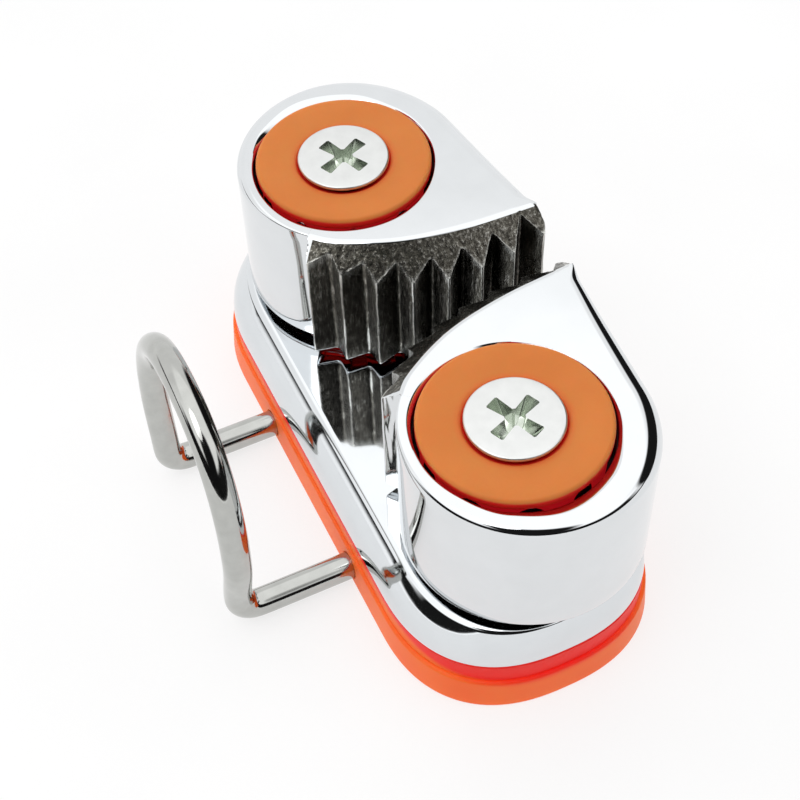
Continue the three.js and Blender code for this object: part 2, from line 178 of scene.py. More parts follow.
def grid(name, columns, materials, closed=True, pick=None):
    """A surface over columns that all have the same number of points, closed round both ways if asked."""
    count, rows = len(columns), len(columns[0])
    vertices = [p for column in columns for p in column]
    faces, slots = [], []
    for c in range(count):
        nxt = (c + 1) % count
        for r in range(rows if closed else rows - 1):
            up = (r + 1) % rows
            faces.append((c * rows + r, nxt * rows + r, nxt * rows + up, c * rows + up))
            slots.append(pick(c, r) if pick else 0)
    return tidy(make_object(name, vertices, faces, materials, slots))


def stack(name, outlines, materials):
    """A closed solid through plan outlines, each a list of (x, y, z), with flat ends."""
    count = len(outlines[0])
    vertices = [p for outline in outlines for p in outline]
    faces = []
    for level in range(len(outlines) - 1):
        for i in range(count):
            a, b = level * count + i, level * count + (i + 1) % count
            faces.append((a, b, b + count, a + count))
    faces.append(tuple(reversed(range(count))))
    faces.append(tuple(range((len(outlines) - 1) * count, len(outlines) * count)))
    return tidy(make_object(name, vertices, faces, materials))


def lathe(name, profile, segments, materials):
    """A turned solid about Z from a closed profile of (radius, height)."""
    columns = []
    for i in range(segments):
        a = 2 * math.pi * i / segments
        columns.append([(r * math.cos(a), r * math.sin(a), z) for r, z in profile])
    return grid(name, columns, materials)


def arc(centre, radius, start, end, steps):
    """Points on an arc in a section plane, angles in degrees."""
    points = []
    for i in range(steps + 1):
        a = math.radians(start + (end - start) * i / steps)
        points.append((centre[0] + radius * math.cos(a), centre[1] + radius * math.sin(a)))
    return points


def apply_modifiers(obj):
    evaluated = obj.evaluated_get(bpy.context.evaluated_depsgraph_get())
    mesh = bpy.data.meshes.new_from_object(evaluated)
    obj.modifiers.clear()
    obj.data = mesh
    return obj


def combine(obj, others, operation):
    """Joins the other solids to obj, or takes them out of it, and deletes them."""
    for other in others:
        modifier = obj.modifiers.new(operation.lower(), "BOOLEAN")
        modifier.operation = operation
        modifier.solver = "EXACT"
        modifier.object = other
    bpy.context.view_layer.update()
    apply_modifiers(obj)
    for other in others:
        bpy.data.objects.remove(other)
    return obj


def cut(obj, cutters):
    """Takes the cutters out of obj and deletes them."""
    return combine(obj, cutters, "DIFFERENCE")


def sphere_mesh(name, radius):
    """A fine ball about the origin, its radius in metres."""
    bm = bmesh.new()
    bmesh.ops.create_icosphere(bm, subdivisions=4, radius=radius)
    mesh = bpy.data.meshes.new(name)
    bm.to_mesh(mesh)
    bm.free()
    return mesh


def place(obj):
    """Adds an object to the scene."""
    bpy.context.scene.collection.objects.link(obj)
    return obj


def moved(obj, x=0.0, y=0.0, z=0.0):
    obj.data.transform(Matrix.Translation(Vector((x, y, z)) * MM))
    return obj


def flipped(obj):
    """Reflects obj's mesh in the XZ plane and turns its faces back outwards."""
    obj.data.transform(Matrix.Scale(-1, 4, Vector((0, 1, 0))))
    obj.data.flip_normals()
    return obj


def at_pivot(obj, side, ajar=0.0):
    """Moves a mesh drawn about the front pivot to its own pivot, reflected and turned at the back."""
    if side == "back":
        obj.data.transform(Matrix.Rotation(-ajar, 4, "Z"))
        flipped(obj)
    obj.data.transform(Matrix.Translation(PIVOTS[f"{side}_cam"]))
    return obj


def rod(name, radius, bottom, top, segments):
    return lathe(name, [(0, bottom), (radius, bottom), (radius, top), (0, top)], segments, [])


def ease(t):
    t = min(max(t, 0.0), 1.0)
    return t * t * (3 - 2 * t)


def polar(radius, degrees):
    a = math.radians(degrees)
    return Vector((radius * math.cos(a), radius * math.sin(a)))


def spline(points, samples):
    """A uniform Catmull-Rom curve through plan points, as a list of evenly stepped points."""
    p = [Vector(q) for q in points]
    last = len(p) - 1
    out = []
    for i in range(samples + 1):
        t = last * i / samples
        k = min(int(t), last - 1)
        w = t - k
        a, b = p[max(k - 1, 0)], p[k]
        c, d = p[k + 1], p[min(k + 2, last)]
        v0, v1 = (c - a) / 2, (d - b) / 2
        out.append((2 * b - 2 * c + v0 + v1) * w**3 + (3 * c - 3 * b - 2 * v0 - v1) * w**2 + v0 * w + b)
    return out


def lengths(points):
    total = [0.0]
    for a, b in zip(points, points[1:]):
        total.append(total[-1] + (b - a).length)
    return total


def along(points, share):
    """The point and direction at a share of a polyline's length."""
    total = lengths(points)
    want = share * total[-1]
    for i in range(1, len(points)):
        if total[i] >= want or i == len(points) - 1:
            span = total[i] - total[i - 1]
            w = (want - total[i - 1]) / span
            return points[i - 1].lerp(points[i], w), (points[i] - points[i - 1]).normalized()


# ---------------------------------------------------------------- materials

class Graph:
    """Short way to write a node material."""

    def __init__(self, name):
        self.material = bpy.data.materials.new(name)
        self.material.use_nodes = True
        self.tree = self.material.node_tree
        self.shader = self.tree.nodes["Principled BSDF"]
        self.position = self.node("ShaderNodeTexCoord").outputs["Object"]

    def node(self, kind, inputs=None, **settings):
        made = self.tree.nodes.new(kind)
        for key, value in settings.items():
            setattr(made, key, value)
        for key, value in (inputs or {}).items():
            self.put(made.inputs[key], value)
        return made

    def put(self, socket, value):
        if isinstance(value, bpy.types.NodeSocket):
            self.tree.links.new(value, socket)
        else:
            socket.default_value = value

    def shader_inputs(self, **inputs):
        for key, value in inputs.items():
            self.put(self.shader.inputs[key.replace("_", " ")], value)

    def noise(self, size_mm, detail=2.0, roughness=0.5, stretch=None, distortion=0.0):
        """Noise whose blobs are about size_mm across, from 0 to 1."""
        where = self.position
        if stretch:
            where = self.node("ShaderNodeMapping", {"Vector": where, "Scale": stretch}).outputs[0]
        made = self.node("ShaderNodeTexNoise", {
            "Vector": where, "Scale": 1 / (size_mm * MM), "Detail": detail,
            "Roughness": roughness, "Distortion": distortion,
        })
        return made.outputs["Fac"]

    def ramp(self, value, stops):
        made = self.node("ShaderNodeValToRGB", {"Fac": value})
        elements = made.color_ramp.elements
        while len(elements) < len(stops):
            elements.new(0.5)
        for element, (position, colour) in zip(elements, stops):
            element.position = position
            element.color = (*colour, 1) if hasattr(colour, "__len__") else (colour, colour, colour, 1)
        return made.outputs["Color"]

    def span(self, value, start, end):
        """Rescales 0 to 1 into start to end."""
        made = self.node("ShaderNodeMapRange", {"Value": value, "To Min": start, "To Max": end})
        return made.outputs["Result"]

    def math(self, operation, a, b=0.0):
        made = self.node("ShaderNodeMath", operation=operation)
        self.put(made.inputs[0], a)
        self.put(made.inputs[1], b)
        return made.outputs[0]

    def bump(self, layers):
        """Bumps of several heights in millimetres laid over each other."""
        normal = None
        for height, strength_mm in layers:
            made = self.node("ShaderNodeBump", {"Height": height, "Distance": strength_mm * MM})
            if normal is not None:
                self.put(made.inputs["Normal"], normal)
            normal = made.outputs["Normal"]
        self.put(self.shader.inputs["Normal"], normal)


def polished_metal(name, colour, rough=(0.03, 0.07), ripple=0.0006):
    """Mirror-polished metal with faint cloudiness, hairline marks and a slow ripple left by the buffing."""
    g = Graph(name)
    cloud = g.noise(3.5, detail=3)
    hair = g.noise(0.12, detail=1, stretch=(1, 0.12, 1))
    rougher = g.math("ADD", g.span(cloud, rough[0], rough[1]), g.span(hair, -0.01, 0.02))
    tone = g.ramp(cloud, [(0.3, [c * 0.97 for c in colour]), (0.7, colour)])
    g.shader_inputs(Base_Color=tone, Roughness=rougher, Metallic=1.0)
    g.bump([(g.noise(5.0, detail=1), ripple * 8), (g.noise(0.5, detail=2), ripple * 0.3)])
    return g.material


def cast_metal(name):
    """The unpolished toothed side: as-cast skin, with a painted highlight along its ridges and painted shade
    in its hollows.
    """
    g = Graph(name)
    grain = g.noise(0.3, detail=4, roughness=0.7, stretch=(1, 1, 0.25))
    patch = g.noise(2.2, detail=2)
    tone = g.ramp(grain, [
        (0.36, (0.045, 0.042, 0.035)), (0.54, (0.12, 0.114, 0.096)), (0.7, (0.4, 0.39, 0.36)),
    ])
    # painted highlight: the ridges, found by pointiness, are lightened toward pale grey
    painted_ridge_highlight = g.ramp(g.node("ShaderNodeNewGeometry").outputs["Pointiness"], [(0.512, 0.0), (0.55, 0.9)])
    tone = g.node("ShaderNodeMix", {"Factor": painted_ridge_highlight, "A": tone, "B": (0.62, 0.62, 0.59, 1)},
                  data_type="RGBA").outputs["Result"]
    # painted shade: an occlusion mask darkens the grooves and other hollows, nearly to black in the deepest
    hollow = g.node("ShaderNodeAmbientOcclusion", {"Distance": 2.6 * MM}, samples=8).outputs["AO"]
    depth = g.ramp(hollow, [(0.15, 0.05), (0.45, 0.4), (0.85, 1.0)])
    shaded = g.node("ShaderNodeMix", {"Factor": 1.0, "A": tone, "B": depth}, data_type="RGBA",
                    blend_type="MULTIPLY").outputs["Result"]
    rough = g.math("ADD", g.span(grain, 0.3, 0.16), g.span(patch, -0.05, 0.07))
    g.shader_inputs(Base_Color=shaded, Roughness=rough, Metallic=1.0)
    g.bump([(grain, 0.05), (g.noise(0.09, detail=2), 0.008), (g.noise(1.1, detail=2), 0.05)])
    return g.material


# deep red of painted shade, laid on the plastic by height where it sits in shade
SHADE_RED = (0.86, 0.018, 0.012, 1)
END_ZONE = 22 * MM                  # beyond this distance along the base the red painted shade starts lower
END_ZONE_RISE = 0.22


def moulded(name, colour, deep, rough, shade_heights=None, painted_glow=0.0):
    """Moulded translucent plastic: slow cloudiness, fine matt grain, depth, and a redder zone by height.

    the heights, in millimetres, are where the plastic goes from its own colour to the red of painted shade,
    and the glow strength is painted light given off by the plastic, standing in for light that comes through
    from behind.
    """
    g = Graph(name)
    cloud = g.noise(6.0, detail=3)
    fleck = g.noise(0.25, detail=2)
    tone = g.ramp(g.math("ADD", g.math("MULTIPLY", cloud, 0.8), g.math("MULTIPLY", fleck, 0.2)),
                  [(0.3, deep), (0.7, colour)])
    # painted shade: the colour goes to deep red between the given heights
    if shade_heights:
        split = g.node("ShaderNodeSeparateXYZ", {0: g.position})
        along_base = g.math("ABSOLUTE", split.outputs["Y"])
        beyond = g.math("MAXIMUM", g.math("SUBTRACT", along_base, END_ZONE), 0.0)
        height = split.outputs["Z"]
        if shade_heights[1] > shade_heights[0]:
            height = g.math("ADD", height, g.math("MULTIPLY", beyond, END_ZONE_RISE))
        share = g.node("ShaderNodeMapRange", {
            "Value": height, "From Min": shade_heights[0] * MM, "From Max": shade_heights[1] * MM,
        }).outputs["Result"]
        tone = g.node("ShaderNodeMix", {"Factor": share, "A": tone, "B": SHADE_RED},
                      data_type="RGBA").outputs["Result"]
    g.shader_inputs(Base_Color=tone, Roughness=g.span(fleck, rough - 0.05, rough + 0.06))
    # painted glow: the plastic gives off its own colour as light, standing in for light that comes through
    # it
    g.shader_inputs(Emission_Color=tone, Emission_Strength=painted_glow)
    g.shader_inputs(Specular_IOR_Level=0.15)
    g.shader_inputs(Subsurface_Weight=0.4, Subsurface_Radius=(0.006, 0.0008, 0.0003), Subsurface_Scale=0.5)
    g.bump([(g.noise(0.08, detail=2), 0.006), (g.noise(2.5, detail=1), 0.01)])
    return g.material


def turned_steel(name, colour, rough, centre):
    """Satin steel with the fine rings that turning leaves about the pivot's axis."""
    g = Graph(name)
    offset = g.node("ShaderNodeVectorMath", {0: g.position, 1: centre}, operation="SUBTRACT").outputs[0]
    flat = g.node("ShaderNodeVectorMath", {0: offset, 1: (1, 1, 0)}, operation="MULTIPLY").outputs[0]
    radius = g.node("ShaderNodeVectorMath", {0: flat}, operation="LENGTH").outputs["Value"]
    rings = g.node("ShaderNodeTexNoise", {
        "W": g.math("MULTIPLY", radius, 1 / (0.06 * MM)), "Scale": 1.0, "Detail": 2.0,
    }, noise_dimensions="1D").outputs["Fac"]
    cloud = g.noise(1.2, detail=3)
    tone = g.ramp(cloud, [(0.3, [c * 0.93 for c in colour]), (0.7, colour)])
    uneven = g.math("ADD", g.span(rings, rough - 0.05, rough + 0.05), g.span(cloud, -0.03, 0.03))
    g.shader_inputs(Base_Color=tone, Metallic=1.0, Roughness=uneven)
    g.bump([(rings, 0.0025), (g.noise(0.2, detail=2), 0.002)])
    return g.material


def drawn_wire(name, colour, rough):
    """Bright drawn and polished wire."""
    g = Graph(name)
    cloud = g.noise(1.5, detail=3)
    tone = g.ramp(cloud, [(0.3, [c * 0.9 for c in colour]), (0.7, colour)])
    g.shader_inputs(Base_Color=tone, Metallic=1.0, Roughness=g.span(cloud, rough - 0.03, rough + 0.04))
    g.bump([(g.noise(0.15, detail=2), 0.0012), (g.noise(1.8, detail=1), 0.004)])
    return g.material


POLISHED = polished_metal("polished_cover", (0.72, 0.745, 0.765))
CAM_POLISHED = polished_metal("polished_cam", (0.735, 0.755, 0.77))
CAST = cast_metal("cast_teeth")
# near-black metal for the bore: painted shade down in the gap round each cap
BORE_SHADE_METAL = drawn_wire("bore_shade_metal", (0.03, 0.03, 0.03), 0.45)
# base: red painted shade from 5.4 mm up under the cover's edge, and a faint painted glow; caps: red painted
# shade below 28.62 mm
BASE_PLASTIC = moulded(
    "base_plastic", (0.9, 0.165, 0.03), (0.87, 0.13, 0.022), 0.4, shade_heights=(5.4, 6.2), painted_glow=0.17)
CAP_PLASTIC = moulded(
    "cap_plastic", (0.71, 0.235, 0.055), (0.67, 0.205, 0.046), 0.5, shade_heights=(28.62, 28.35))
# deep red that stands for the orange-red cage plastic in shade, painted shade, with a painted glow
BEARING_PLASTIC = moulded(
    "bearing_plastic", (0.8, 0.012, 0.02), (0.74, 0.008, 0.016), 0.45, painted_glow=0.3)
# near-black copy of the bearing plastic for the lower cages: painted shade
SHADED_PLASTIC = moulded("shaded_plastic", (0.03, 0.006, 0.006), (0.02, 0.004, 0.004), 0.5)
WASHER_PLASTIC = moulded("washer_plastic", (0.02, 0.02, 0.02), (0.012, 0.012, 0.012), 0.5)
WIRE_STEEL = drawn_wire("wire_steel", (0.5, 0.505, 0.485), 0.08)
SPRING_STEEL = drawn_wire("spring_steel", (0.4, 0.41, 0.42), 0.25)
# darkened, reddish steel: painted shade on the balls down in the gap, with a red painted reflection of the
# cages
SHADED_BALL_STEEL = polished_metal("ball_steel", (0.3, 0.2, 0.2))
SCREW_STEEL = {
    side: turned_steel(f"screw_steel_{side}", (0.74, 0.75, 0.74), 0.34, PIVOTS[f"{side}_cam"])
    for side in SIDES
}
RECESS_STEEL = drawn_wire("recess_steel", (0.75, 0.79, 0.73), 0.17)
POST_STEEL = {
    side: turned_steel(f"post_steel_{side}", (0.6, 0.61, 0.62), 0.3, PIVOTS[f"{side}_cam"])
    for side in SIDES
}


def dress(obj, body, slot, *nodes):
    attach(obj, body)
    if nodes:
        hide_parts(*nodes)


# ---------------------------------------------------------------- base: plate, chassis and cover

END_STEPS = 64
SIDE_STEPS = 24


def plan(half_x, half_y, inset, z):
    """The base's plan outline pulled in by inset, as points at height z."""
    a, b = half_x - inset, half_y - inset
    points = []
    for side in (1, -1):
        for i in range(END_STEPS + 1):
            t = math.pi * i / END_STEPS
            across = math.copysign(abs(math.cos(t)) ** (2 / END_POWER), math.cos(t))
            y = b - END_DEPTH + END_DEPTH * math.sin(t) ** (2 / END_POWER)
            points.append((side * a * across, side * y, z))
        x, y = points[-1][0], points[-1][1]
        for i in range(1, SIDE_STEPS):
            points.append((x, y * (1 - 2 * i / SIDE_STEPS), z))
    return points


def rounded_levels(half_x, half_y, bottom, top, under, over, steps, taper=0.0):
    """Outlines of a plate whose lower and upper edges are rounded by under and over."""
    levels = []
    height = top - bottom
    lower = arc((under, bottom + under), under, -90, -180, steps)
    upper = arc((over, top - over), over, 180, 90, steps)
    for inset, z in lower + upper:
        levels.append(plan(half_x, half_y, inset + taper * (z - bottom) / height, z))
    return levels


def leg_holes(radius):
    """Cutters along the fairlead's two legs."""
    cutters = []
    for sign in (1, -1):
        hole = rod("leg_hole", radius, 0, 16, 40)
        hole.data.transform(Matrix.Rotation(math.radians(-90), 4, "Y"))
        z = low("wire_fairlead").z + WIRE
        cutters.append(moved(hole, -4.0, sign * WIRE_LEG_Y, z))
    return cutters


def at_both(build):
    return [at_pivot(build(), side) for side in SIDES]


def build_plate():
    node = "mounting_plate"
    levels = rounded_levels(half_width(node), half_length(node), 0, high(node).z, 0.45, 0.3, 6, PLATE_DRAFT)
    obj = stack("plate", levels, [BASE_PLASTIC])
    screw_holes = at_both(lambda: rod("screw_hole", SHANK + RUN_GAP, -1, high(node).z + 1, 48))
    cut(obj, leg_holes(WIRE + LEG_FIT) + screw_holes)
    dress(shade(obj), "base", "plate_plastic", node)


def build_chassis():
    node = "chassis"
    bottom, boss_top = low(node).z, high(node).z
    deck = low("base_cover").z - 0.05
    levels = rounded_levels(half_width(node), half_length(node), bottom, deck, 0.12, 0.12, 3)
    obj = stack("chassis_deck", levels, [BASE_PLASTIC])
    pocket = low("post_front").z
    holes = at_both(lambda: rod("screw_hole", SHANK + RUN_GAP, bottom - 1, boss_top + 1, 48))
    holes += at_both(lambda: rod("post_pocket", POST_POCKET, pocket, boss_top + 1, 64))
    bosses = at_both(lambda: lathe("boss", [
        (0, bottom + 0.5), (BOSS, bottom + 0.5), (BOSS, boss_top - BOSS_EDGE),
        *arc((BOSS - BOSS_EDGE, boss_top - BOSS_EDGE), BOSS_EDGE, 0, 90, 4), (0, boss_top),
    ], 72, [BASE_PLASTIC]))
    combine(obj, bosses, "UNION")
    cut(obj, holes)
    dress(shade(obj), "base", "plate_plastic", node)


def cover_section(inside, steps):
    """Section of the cover, a distance inside its outer face.

    Each point is its inset at the sides, its inset at the ends and its height.
    """
    bottom, top = low("base_cover").z, high("base_cover").z
    shoulder_z = top - COVER_FILLET * (1 - math.sin(COVER_SHOULDER))
    rise = (shoulder_z - bottom) / steps
    section = []

    def put(lean, inset, z):
        deeper = inside * math.cos(lean)
        section.append((inset + deeper, inset * COVER_END_SHARE + deeper, z - inside * math.sin(lean)))

    def lean_at(share):
        return COVER_FOOT + (COVER_SHOULDER - COVER_FOOT) * ease(share)

    inset = 0.0
    for i in range(steps + 1):
        put(lean_at(i / steps), inset, bottom + rise * i)
        if i < steps:
            inset += math.tan(lean_at((i + 0.5) / steps)) * rise
    for i in range(1, steps + 1):
        lean = COVER_SHOULDER + (math.pi / 2 - COVER_SHOULDER) * i / steps
        over = COVER_FILLET * (math.cos(COVER_SHOULDER) - math.cos(lean))
        put(lean, inset + over, top - COVER_FILLET * (1 - math.sin(lean)))
    return section


def leg_slot():
    """Cutter for the slot that a spring's upper leg travels along."""
    start, end = LEG_ANGLE + SLOT_BEFORE, LEG_ANGLE - LEG_TRAVEL - SLOT_BEYOND
    top = high("base_cover").z
    angles = [start + (end - start) * i / 12 for i in range(13)]
    outline = [polar(LEG_RADIUS - LEG_HOLE, angle) for angle in angles]
    outline += [polar(LEG_RADIUS + LEG_HOLE, angle) for angle in reversed(angles)]
    return stack("leg_slot", [[(p.x, p.y, z) for p in outline] for z in (top - 3, top + 1)], [])


def build_cover():
    node = "base_cover"
    bottom, top = low(node).z, high(node).z
    a, b = half_width(node), half_length(node)
    outer = [(0.16, 0.16, bottom), (0.03, 0.03, bottom + 0.05), *cover_section(0, 14)[1:]]
    obj = stack("cover", [plan(a - x, b - y, 0, z) for x, y, z in outer], [POLISHED])
    inner = [(COVER_WALL, COVER_WALL, bottom - 1), *cover_section(COVER_WALL, 8)[:9]]
    hollow = stack("hollow", [plan(a - x, b - y, 0, z) for x, y, z in inner], [])
    holes = at_both(lambda: rod("post_hole", POST_POCKET, bottom, top + 1, 72))
    cut(obj, [hollow] + holes + at_both(leg_slot))
    dress(shade(obj), "base", "polished_metal", node)


# ---------------------------------------------------------------- cams
# A cam is drawn about its own pivot: x towards the tail, y towards the rope.

def heel_point(degrees):
    return HEEL_CENTRE + polar(HEEL_RADIUS, degrees)


def round_corners(corners, step):
    """Follows a plan polyline of (point, cut) and rounds each corner back to its cut distance."""
    out = []
    for i, (p, back) in enumerate(corners):
        start = p
        if 0 < i < len(corners) - 1:
            before = (corners[i - 1][0] - p).normalized() * back
            after = (corners[i + 1][0] - p).normalized() * back
            for k in range(7):
                t = k / 6
                out.append(p + before * (1 - t) ** 2 + after * t**2)
            start = p + after
        else:
            out.append(p.copy())
        if i < len(corners) - 1:
            q, q_back = corners[i + 1]
            if i + 1 == len(corners) - 1:
                q_back = 0.0
            end = q + (p - q).normalized() * q_back
            steps = max(1, round((end - start).length / step))
            for k in range(1, steps):
                out.append(start.lerp(end, k / steps))
    return out


def tooth_corners():
    """Ridges and groove bottoms in turn, from the cam's tip back to its first tooth."""
    tips = spline(TIP_LINE, 200)
    corners = []
    for i in range(GROOVES, -1, -1):
        ridge, _ = along(tips, i / GROOVES)
        corners.append((ridge, 0.3 if i < GROOVES else 0.5))
        if i > 0:
            middle = (i - 0.4) / GROOVES
            bottom, tangent = along(tips, middle)
            depth = 1.3 + 1.3 * middle
            corners.append((bottom + Vector((tangent.y, -tangent.x)) * depth, 0.42))
    return corners


def cam_columns():
    """Round the cam in plan.

    Each column is its wall point, the outward direction, the fillet's radius or the lip's point, whether it
    is toothed and, where it is, the direction across the lip.
    """
    columns = []
    heel_steps = 130
    lip_dense = spline(LIP_LINE, 400)
    lip_end = lip_dense[-1]
    for i in range(heel_steps + 1):
        degrees = HEEL_FROM + (HEEL_TO - HEEL_FROM) * i / heel_steps
        fillet = LIP_FILLET / 2 + (HEEL_FILLET - LIP_FILLET / 2) * ease(i / 40)
        fillet += (FLANK_FILLET - HEEL_FILLET) * ease((degrees - 270) / (HEEL_TO - 285))
        columns.append((heel_point(degrees), polar(1, degrees), fillet, False, None))
    start, bend = heel_point(HEEL_TO), FLANK[0]
    end = FLANK[0].lerp(FLANK[1], (lip_end.y - FLANK[0].y) / (FLANK[1].y - FLANK[0].y))
    flank = spline([heel_point(HEEL_TO - 12), start, bend, end], 60)[21:]
    for i, p in enumerate(flank):
        q = flank[min(i + 1, len(flank) - 1)] - flank[max(i - 1, 0)]
        normal = Vector((q.y, -q.x)).normalized()
        left = len(flank) - 1 - i
        fillet = TIP_FILLET + (FLANK_FILLET - TIP_FILLET) * ease(left / len(flank))
        fillet = 0.12 + (fillet - 0.12) * ease(left / 9)
        columns.append((p, normal, fillet, False, None))
    toothed = round_corners([(end, 0), (FLANK[1], 0.35), *tooth_corners(), (heel_point(HEEL_FROM), 0)], 0.22)
    position = len(lip_dense) - 1
    last_normal = columns[-1][1]
    for p in toothed:
        position = min(range(position + 1), key=lambda k: (lip_dense[k] - p).length)
        lip = lip_dense[position]
        out = p - lip
        if out.length > 0.05:
            last_normal = out.normalized()
        run = lip_dense[min(position + 1, len(lip_dense) - 1)] - lip_dense[max(position - 1, 0)]
        across = Vector((-run.y, run.x)).normalized() * ease((lip_end - lip).length / 2.5)
        columns.append((p, last_normal, lip, True, across))
    return columns


def mouth_width(degrees):
    for (start, wide), (end, next_wide) in zip(MOUTH_WIDTHS, MOUTH_WIDTHS[1:]):
        if start <= degrees <= end:
            return wide + (next_wide - wide) * ease((degrees - start) / (end - start))
    return MOUTH_WIDTHS[0][1]


def roughen(p, amount):
    """Moves a point by cast-skin noise."""
    return p + noise.noise_vector(p * 2.1) * amount + noise.noise_vector(p * 5.3) * amount * 0.5


def cam_section(column, bottom, top):
    """One closed section through the cam's ring: over its top edge, down the wall, up the bore and back."""
    wall, normal, edge, toothed, across = column
    edge_steps, chamfer_steps, wall_steps, foot = 8, 8, 12, 0.25

    def at(p, z):
        return Vector((p.x, p.y, z))

    rows = []
    if toothed:
        reach = max((wall - edge).dot(normal), 0.0)
        turn = math.atan(CHAMFER_SLOPE)
        back = min(LIP_FILLET * 2 * math.tan(turn / 2), 0.45 * reach)
        slope = Vector((normal.x * math.cos(turn), normal.y * math.cos(turn), -math.sin(turn)))
        lip = at(edge, top)
        first, last = lip - at(across, 0) * back, lip + slope * back
        for i in range(edge_steps + 1):
            t = i / edge_steps
            rows.append(first * (1 - t) ** 2 + lip * 2 * t * (1 - t) + last * t**2)
        shoulder = at(wall, top - CHAMFER_SLOPE * reach)
        inner = edge
    else:
        inner = wall - normal * edge
        for i in range(edge_steps + 1):
            a = math.pi / 2 * i / edge_steps
            rows.append(at(inner + normal * edge * math.sin(a), top - edge * (1 - math.cos(a))))
        shoulder = rows[-1]
    upper = rows[-1]
    for i in range(1, chamfer_steps + 1):
        rows.append(upper.lerp(shoulder, i / chamfer_steps))
    for i in range(1, wall_steps + 1):
        rows.append(shoulder.lerp(at(wall, bottom + foot), i / wall_steps))
    if toothed:
        for i in range(edge_steps + 1, len(rows)):
            share = min(1.0, (i - edge_steps) / 3)
            rows[i] = roughen(rows[i], 0.05 * share)
    for i in range(1, 4):
        a = math.pi / 2 * i / 3
        rows.append(at(wall - normal * foot * (1 - math.cos(a)), bottom + foot * (1 - math.sin(a))))
    around = inner.normalized()
    width = mouth_width(math.degrees(math.atan2(around.y, around.x)))
    fall = width * MOUTH_DISH
    bore = [
        (TRACK + 0.25, bottom), (TRACK, bottom + 0.25), (TRACK, LAND[0]), (LAND_BORE, LAND[0]),
        (LAND_BORE, LAND[1]), (TRACK, LAND[1]), (TRACK, top - 1.8), (MOUTH, top - 1.8),
        (MOUTH, top - fall - 0.25),
        *arc((MOUTH + 0.22, top - fall - 0.2), 0.22, 160, 114, 4),
        (MOUTH + width * 0.55, top - fall * 0.38), (MOUTH + width - 0.14, top - 0.035),
        (MOUTH + width - 0.06, top - 0.008), (MOUTH + width, top),
    ]
    rows += [Vector((around.x * r, around.y * r, z)) for r, z in bore]
    flat = rows[-1]
    rows.append(flat.lerp(rows[0], 0.04))
    rows.append(flat.lerp(rows[0], 0.5))
    rows.append(flat.lerp(rows[0], 0.97))
    return rows


CAST_ROWS = range(8, 28)            # rows of a section that keep the cast skin on the toothed side
BORE_ROWS = range(32, 40)           # rows inside the bore, painted near-black as the shade down in the gap round the cap


def build_cams():
    for side in SIDES:
        node = f"cam_{side}"
        bottom, top = low(node).z, high(node).z
        columns = cam_columns()
        sections = [cam_section(c, bottom, top) for c in columns]
        first_ridge = tooth_corners()[-1][0]
        cast_end = min(range(len(columns)), key=lambda c: (columns[c][0] - first_ridge).length)

        def pick(c, r):
            if r in BORE_ROWS:
                return 2
            both = columns[c][3] and columns[(c + 1) % len(columns)][3]
            return 1 if both and c < cast_end and r in CAST_ROWS else 0

        obj = grid(f"{side}_cam_body", sections, [CAM_POLISHED, CAST, BORE_SHADE_METAL], pick=pick)
        at_pivot(obj, side, BACK_AJAR)
        dress(shade(obj, 38), f"{side}_cam", "cam_metal", node)


# ---------------------------------------------------------------- caps, screws and bearings

def build_caps():
    for side in SIDES:
        node = f"cap_{side}"
        radius = half_width(node)
        bottom, rim = low(node).z, high(node).z
        dish = rim - 0.25
        foot = SEAT - (high(f"screw_{side}").z - HEAD_RIM - bottom)
        profile = [
            (foot, bottom), (radius - 0.35, bottom),
            *arc((radius - 0.25, bottom + 0.25), 0.25, -90, 0, 4)[1:],
            *arc((radius - 0.4, rim - 0.4), 0.4, 0, 90, 8), (radius - 0.6, rim),
            (SEAT + 3.4, rim), (SEAT + 3.0, rim - 0.02), (SEAT + 2.2, rim - 0.09), (SEAT + 1.2, rim - 0.19),
            (SEAT + 0.4, dish - 0.02), (SEAT + 0.15, dish - 0.06), (SEAT, dish - 0.18),
        ]
        obj = lathe(f"{side}_cap_ring", profile, 128, [CAP_PLASTIC])
        at_pivot(obj, side)
        dress(shade(obj, 40), "base", "cap_plastic", node)


def cross_cutter(top):
    """Tapered cutter for the cross recess, with blunt rounded arms."""
    levels = []
    for depth, scale in ((-0.3, 1.03), (0.0, 1.0), (1.2, 0.78), (2.0, 0.6), (2.3, 0.35)):
        tip, half, root = 2.8 * scale, 0.74 * (0.45 + 0.55 * scale), 0.8 * (0.35 + 0.65 * scale)
        points = []
        for arm in range(4):
            base = RECESS_TURN + 90 * arm
            turn = Matrix.Rotation(math.radians(base), 2)
            for x, y in ((tip - 0.12, -half), (tip, -half * 0.8), (tip, half * 0.8), (tip - 0.12, half)):
                points.append(turn @ Vector((x, y)))
            points.append(turn @ Vector((root, root * 0.72)))
            points.append(turn @ Vector((root * 0.72, root)))
        levels.append([(p.x, p.y, top - depth) for p in points])
    return stack("recess", levels, [])


